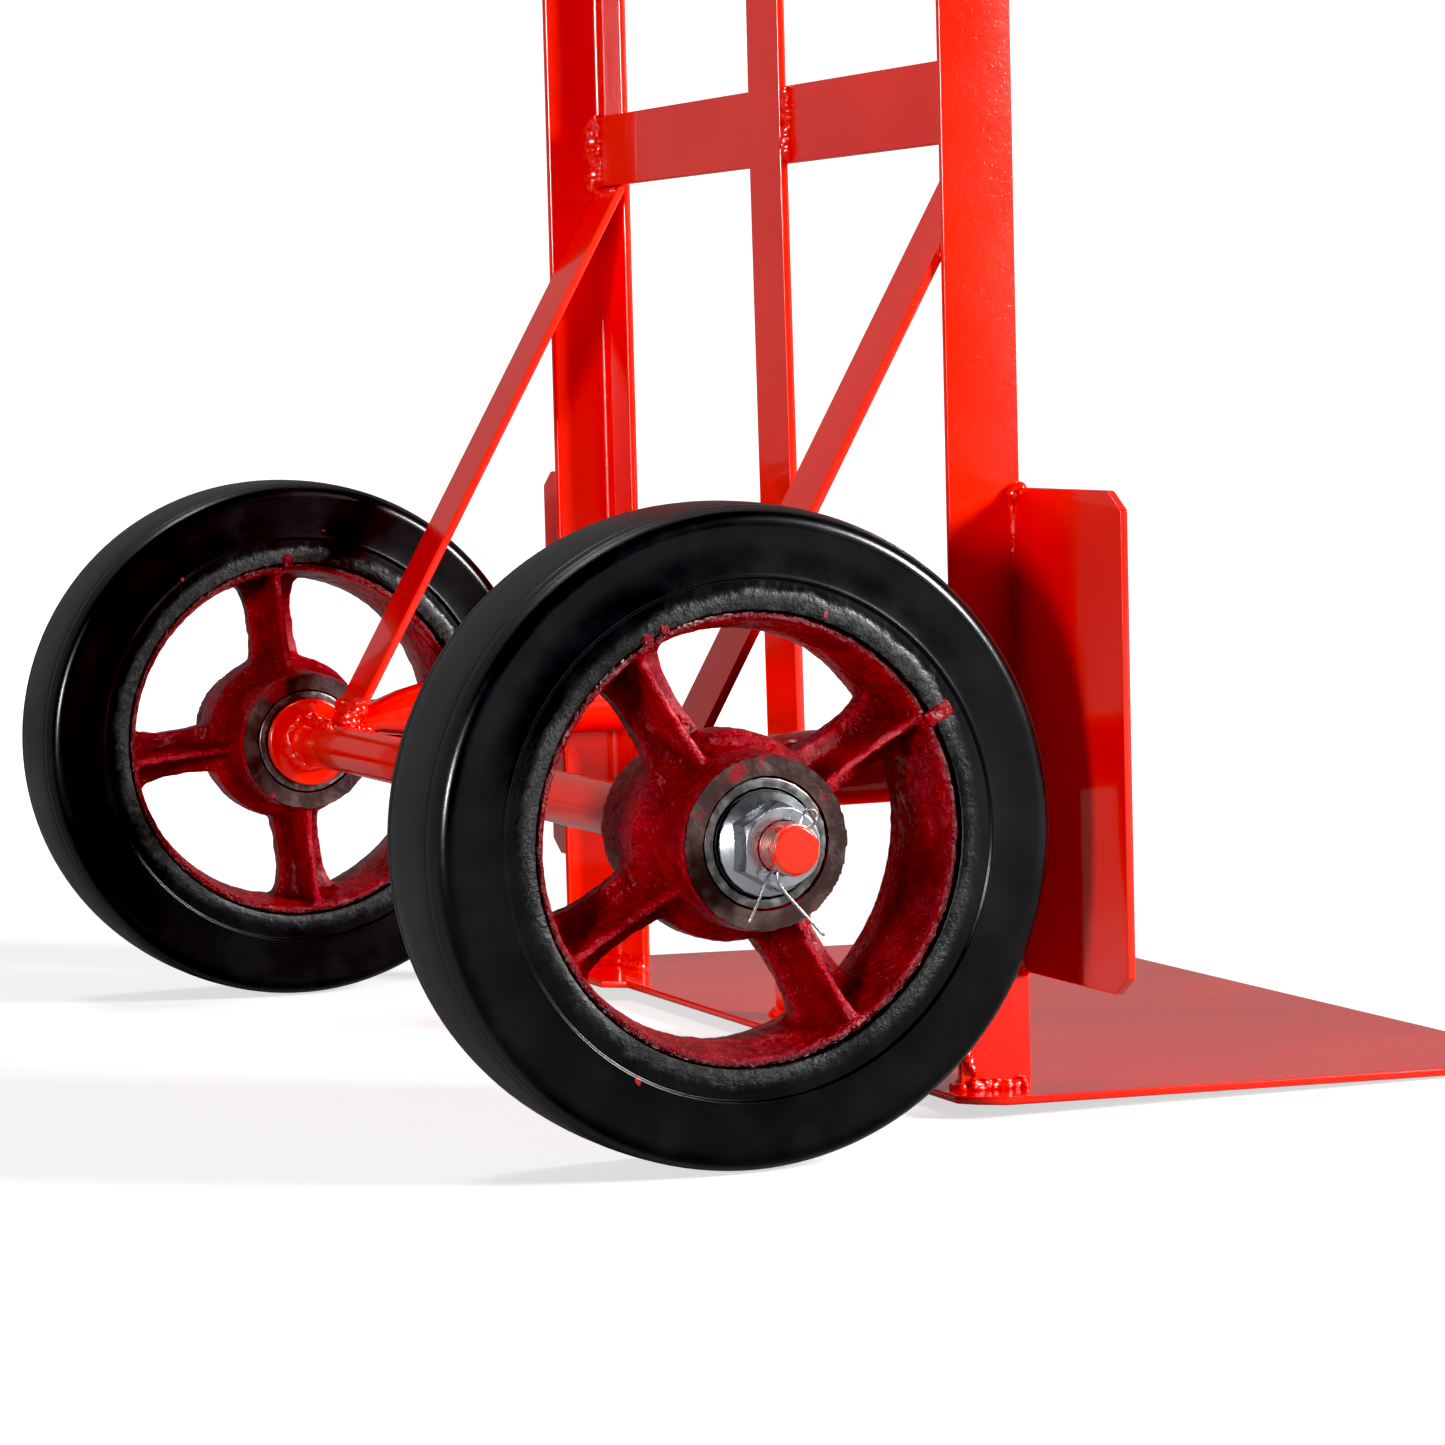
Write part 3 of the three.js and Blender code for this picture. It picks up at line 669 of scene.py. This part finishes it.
def castCentre(side):
    c = wheelCast
    inner = c["rim"] - c["rimWall"]
    rimHalf = c["rimHalf"]
    rim = turnedPiece([(-rimHalf, inner + 0.0020), (-0.014, inner + 0.0004), (-0.005, inner - 0.0012),
        (0.005, inner - 0.0012), (0.014, inner + 0.0004), (rimHalf, inner + 0.0020), (rimHalf, c["rim"]),
        (-rimHalf, c["rim"])], 96, (0, 0, 0))
    hub = turnedPiece([(-c["hubHalf"], c["bore"]), (c["hubHalf"], c["bore"]), (c["hubHalf"], c["hub"]),
        (0.014, c["hub"] + 0.0010), (c["collarHalf"], c["collar"]), (-c["collarHalf"], c["collar"]),
        (-0.014, c["hub"] + 0.0010), (-c["hubHalf"], c["hub"])], 72, (0, 0, 0))
    pieces = [rim, hub]
    for i in range(4):
        around = -radians(c["turn"][side]) + i * pi / 2
        for plate in (spokePlate(c["web"]), spokePlate(c["rib"], c["ribEdge"])):
            plate.rotation_euler = (around, 0, 0)
            settle(plate)
            pieces.append(plate)
    piece = joined(pieces)
    fused(piece, c["voxel"], 10, c["grain"])
    for vertex in piece.data.vertices:  # the hub's two ends are turned flat
        if abs(vertex.co.x) > c["hubHalf"] - 0.0011:
            vertex.co.x = c["hubHalf"] if vertex.co.x > 0 else -c["hubHalf"]
    return piece


for side in outward:
    piece = castCentre(side)
    piece.location = hubCentre[side]
    settle(piece)
    cutter = []
    for end in (-1, 1):
        depth = wheelCast["pocketDepth"]
        at = end * (wheelCast["hubHalf"] - depth / 2 + 0.004)
        bpy.ops.mesh.primitive_cylinder_add(vertices=72, radius=wheelCast["pocket"], depth=depth + 0.008,
            location=hubCentre[side] + Vector((at, 0, 0)), rotation=(0, pi / 2, 0))
        cutter.append(bpy.context.object)
    cutter = joined(cutter)
    pocket = piece.modifiers.new("pockets", "BOOLEAN")
    pocket.operation = "DIFFERENCE"
    pocket.object = cutter
    pocket.solver = "EXACT"
    applyAll(piece)
    bpy.data.objects.remove(cutter)
    nubs = joined([nub(side, *lump) for lump in wheelCast["nubs"][side]])
    nubs.location = hubCentre[side]
    settle(nubs)
    piece = joined([piece, nubs])
    bpy.ops.object.shade_smooth_by_angle(angle=radians(50))
    mount(piece, "castCentre_" + side, "wheel_" + side, "wheel_paint", castPaint[side],
        "wheel_casting_" + side)
print("wheel centres made")

bead = {"step": 0.50, "jitter": 0.42, "voxel": 0.0005, "smooth": 3, "grain": (0.0022, 0.0006), "seed": 8}
chance = Random(bead["seed"])
flangeBack = axleY - 0.1228
railFront = axleY - 0.1260
wallX = 0.18095
bars = {name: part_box("crossbar_" + name) for name in ("lower", "middle", "upper", "top")}
guardLow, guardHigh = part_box("wheel_guard_left")
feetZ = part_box("rail_left")[0].z


def line(start, end, size):
    return [(Vector(start), Vector(end), size)]


def arc(centre, radius, fromTurn, toTurn, size, pieces=10, across="y"):
    points = []
    for i in range(pieces + 1):
        turn = radians(fromTurn + (toTurn - fromTurn) * i / pieces)
        a, b = radius * cos(turn), radius * sin(turn)
        points.append(Vector(centre) + Vector((a, 0, b) if across == "y" else (0, a, b)))
    return [(p, q, size) for p, q in zip(points, points[1:])]


def sideWelds(s):
    welds = []
    for low, high in bars.values():
        welds += line((s * 0.1788, flangeBack + 0.0036, low.z + 0.001),
            (s * 0.1788, flangeBack + 0.0036, high.z - 0.001), 0.0030)
        welds += line((s * 0.1738, flangeBack + 0.0034, low.z + 0.002),
            (s * 0.1745, flangeBack + 0.0034, high.z - 0.003), 0.0018)
    seamY = railFront + 0.0027
    welds += line((s * 0.1846, seamY, guardLow.z + 0.002), (s * 0.1846, seamY, guardHigh.z - 0.002), 0.0010)
    welds += line((s * 0.1850, seamY, guardHigh.z - 0.003),
        (s * 0.1862, seamY - 0.001, guardHigh.z + 0.0006), 0.0026)
    welds += line((s * 0.1848, seamY, guardLow.z + 0.001), (s * 0.1870, seamY, guardLow.z + 0.003), 0.0022)
    foot = feetZ + 0.0005
    welds += line((s * 0.1850, railFront + 0.003, foot),
        (s * 0.1850, railFront + 0.0245, foot + 0.0004), 0.0020)
    welds += line((s * 0.1838, railFront + 0.0262, foot), (s * 0.1815, railFront + 0.0262, foot), 0.0021)
    welds += line((s * 0.1800, railFront + 0.0240, foot), (s * 0.1800, railFront + 0.0050, foot), 0.0024)
    welds += line((s * 0.1780, railFront + 0.0040, foot), (s * 0.1600, railFront + 0.0040, foot), 0.0024)
    welds += line((s * 0.1845, railFront + 0.020, foot + 0.004),
        (s * 0.1846, railFront + 0.024, foot + 0.011), 0.0016)
    braceTop = bars["lower"][0].z - 0.004
    welds += line((s * 0.1570, flangeBack + 0.0030, braceTop),
        (s * 0.1790, flangeBack + 0.0030, braceTop), 0.0019)
    welds += line((s * 0.1796, flangeBack + 0.006, braceTop - 0.006),
        (s * 0.1798, axleY - 0.1010, braceTop - 0.033), 0.0014)
    crook = (axleY - 0.0085, axleZ + 0.0135)
    welds += line((s * 0.1560, *crook), (s * 0.1800, *crook), 0.0038)
    welds += line((s * 0.1548, axleY - 0.003, axleZ + 0.0088),
        (s * 0.1552, axleY - 0.010, axleZ + 0.0068), 0.0036)
    welds += line((s * 0.1560, axleY + 0.0035, axleZ + 0.0088),
        (s * 0.1800, axleY + 0.0035, axleZ + 0.0088), 0.0018)
    welds += line((s * 0.1570, axleY - 0.0095, axleZ + 0.0010),
        (s * 0.1790, axleY - 0.0095, axleZ + 0.0010), 0.0020)
    stub = (s * 0.1682, flangeBack + 0.0005, axleZ + 0.0122)
    welds += arc(stub, 0.0128, 180 if s > 0 else 0, 360 if s > 0 else -180, 0.0020, 14)
    welds += arc(stub, 0.0128, 180 if s > 0 else 0, 90, 0.0016, 8)
    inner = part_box("axle_shoulder_left")[0].x
    welds += arc((s * (inner - 0.0006), axleY, axleZ), 0.0096, 0, 360, 0.0019, 16, "x")
    low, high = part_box("handle_" + ("left" if s > 0 else "right"))
    tubeY = low.y + 0.0010
    for fromZ, toZ in ((0.934, 0.960), (1.090, 1.116)):
        welds += line((s * 0.1582, tubeY, fromZ), (s * 0.1582, tubeY, toZ), 0.0020)
        welds += line((s * 0.1800, tubeY + 0.0195, fromZ), (s * 0.1800, tubeY + 0.0195, toZ), 0.0020)
    return welds


def middleWelds():
    welds = []
    for low, high in bars.values():
        for s in (1, -1):
            welds += line((s * 0.0150, flangeBack + 0.0036, low.z + 0.002),
                (s * 0.0150, flangeBack + 0.0036, high.z - 0.002),
                0.0018 if s > 0 else 0.0024)
    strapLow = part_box("centre_strap")[0]
    welds += line((-0.0135, strapLow.y + 0.0040, strapLow.z),
        (0.0135, strapLow.y + 0.0040, strapLow.z), 0.0022)
    return welds


def weldPiece(name, welds):
    bpy.ops.mesh.primitive_ico_sphere_add(subdivisions=2, radius=1)
    blob = bpy.context.object
    blobs = []
    for start, end, size in welds:
        count = max(2, int((end - start).length / (size * bead["step"])) + 1)
        for i in range(count):
            at = start.lerp(end, i / (count - 1))
            at = at + Vector([chance.uniform(-1, 1) * size * bead["jitter"] for _ in range(3)])
            big = size * chance.uniform(0.78, 1.12)
            copy = blob.copy()
            copy.data = blob.data.copy()
            copy.data.transform(Matrix.Translation(at) @ Matrix.Diagonal((big, big, big, 1)))
            scene.collection.objects.link(copy)
            blobs.append(copy)
    bpy.data.objects.remove(blob)
    piece = joined(blobs)
    fused(piece, bead["voxel"], bead["smooth"], bead["grain"])
    mount(piece, name, "frame", "frame_paint", weldPaint)


weldPiece("welds_left", sideWelds(1))
weldPiece("welds_right", sideWelds(-1))
weldPiece("welds_middle", middleWelds())
print("welds made")

bpy.ops.mesh.primitive_plane_add(size=14, location=(0, 0, 0))
floor = bpy.context.object
floor.name = "floor"
floorLook = {
    "near": 0.56,     # glow about the truck, a share of the glow far off
    "fadeFrom": 0.45,
    "fadeOver": 0.85,
    "glow": 1.15,
}


def paleFloor():  # white to the eye, dim to the truck
    f = Finish("paleFloor")
    x, y, z = f.axes()
    far = (x * x + y * y).math("SQRT").above(floorLook["fadeFrom"], floorLook["fadeOver"])
    glow = f.mix(far, (floorLook["near"],) * 3, (1, 1, 1))
    pale = f.node("ShaderNodeBsdfPrincipled", {}, {"Base Color": (0.50, 0.50, 0.50), "Roughness": 0.7,
        "Specular IOR Level": 0.05, "Emission Color": glow, "Emission Strength": floorLook["glow"]})
    dim = f.node("ShaderNodeBsdfDiffuse", {}, {"Color": (0.34, 0.34, 0.34)})
    return f.end(f.blendShaders(f.cameraRay(), dim, pale))


coat(floor, paleFloor())

lamps = {  # place, aim, size in metres, watts
    "key": ((-2.1, 2.6, 0.60), (0, 0.05, 0.25), 0.45, 68),
    "side": ((-2.2, -2.2, 1.3), (0, 0, 0.25), 0.8, 190),
    "top": ((0.4, 0.8, 3.0), (0, 0, 0.2), 0.6, 26),
}
for name, (place, aim, size, power) in lamps.items():
    bpy.ops.object.light_add(type="AREA", location=place)
    lamp = bpy.context.object
    lamp.name = name
    lamp.data.size = size
    lamp.data.energy = power
    lamp.rotation_euler = (Vector(aim) - Vector(place)).to_track_quat("-Z", "Y").to_euler()


room = {"dark": 0.05, "bright": 0.29, "from": -0.35, "to": 0.55, "backdrop": 1.6}


def studioWorld():  # pale backdrop; the room is bright beyond the truck and dim before its near wheel
    world = bpy.data.worlds.new("studio")
    scene.world = world
    w = Tree(world)
    direction = w.node("ShaderNodeTexCoord", output="Generated")
    x = w.node("ShaderNodeSeparateXYZ", {}, {0: direction}, output="X")
    fade = w.node("ShaderNodeMapRange", {"interpolation_type": "SMOOTHSTEP"}, {"Value": x,
        "From Min": room["from"], "From Max": room["to"], "To Min": room["dark"], "To Max": room["bright"]})
    lit = w.node("ShaderNodeBackground", {}, {"Strength": fade})
    backdrop = w.node("ShaderNodeBackground", {}, {"Strength": room["backdrop"]})
    w.node("ShaderNodeOutputWorld", {}, {"Surface": w.blendShaders(w.cameraRay(), lit, backdrop)})


studioWorld()
print("stage set")
